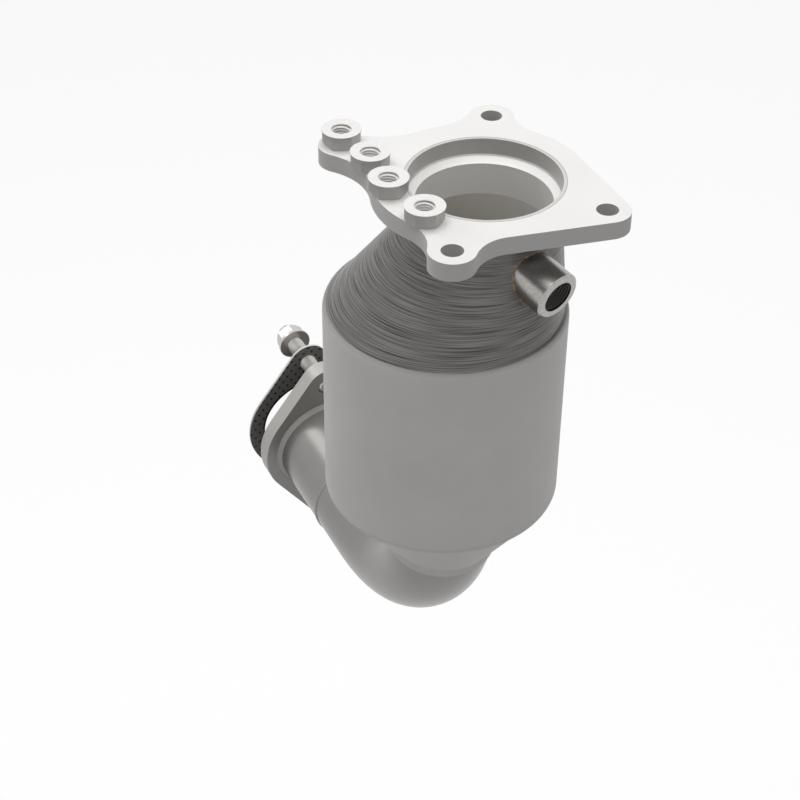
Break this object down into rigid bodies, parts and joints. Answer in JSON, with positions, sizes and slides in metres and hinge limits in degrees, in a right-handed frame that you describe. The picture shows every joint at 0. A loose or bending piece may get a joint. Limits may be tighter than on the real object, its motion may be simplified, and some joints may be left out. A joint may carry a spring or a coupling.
{
  "type": "catalytic converter",
  "caption": "Close-coupled catalytic converter: bolted inlet flange, slanting brushed cone with sensor bung, round can, bent outlet pipe, flange, gasket and fasteners.",
  "frame": {"origin": "middle of the inlet opening, on the mating face of the inlet flange", "axes": "+Z out of the inlet opening, square to the mating face; the can hangs along -Z; +Y to the back lobe side, where the outlet pipe turns to; +X to the right bolt lobe"},
  "size_m": [0.2062, 0.2761, 0.3485],
  "materials": {
    "flange_steel": "matte",
    "rolled_steel": "satin",
    "brushed_steel": "brushed",
    "machined_steel": "satin",
    "bright_steel": "satin",
    "weld_bead": "rough",
    "gasket_facing": "matte",
    "mat_fibre": "matte",
    "cordierite": "matte"
  },
  "bodies": {
    "root": {"inlet_flange": "flange_steel", "inlet_weld": "weld_bead", "inlet_cone": "brushed_steel", "inlet_liner": "rolled_steel", "sensor_bung": "machined_steel", "can_shell": "rolled_steel", "support_mat": "mat_fibre", "ceramic_brick": "cordierite", "outlet_cone": "rolled_steel", "outlet_elbow": "rolled_steel", "elbow_seam_weld": "weld_bead", "outlet_stub": "rolled_steel", "outlet_flange": "flange_steel", "outlet_flange_weld": "weld_bead", "gasket_sheet": "gasket_facing", "gasket_port_ring": "bright_steel", "upper_stud": "bright_steel", "lower_stud": "bright_steel", "upper_washer": "bright_steel", "lower_washer": "bright_steel", "upper_nut": "bright_steel", "lower_nut": "bright_steel", "inlet_nut_1": "bright_steel", "inlet_nut_2": "bright_steel", "inlet_nut_3": "bright_steel", "inlet_nut_4": "bright_steel"}
  },
  "joints": []
}
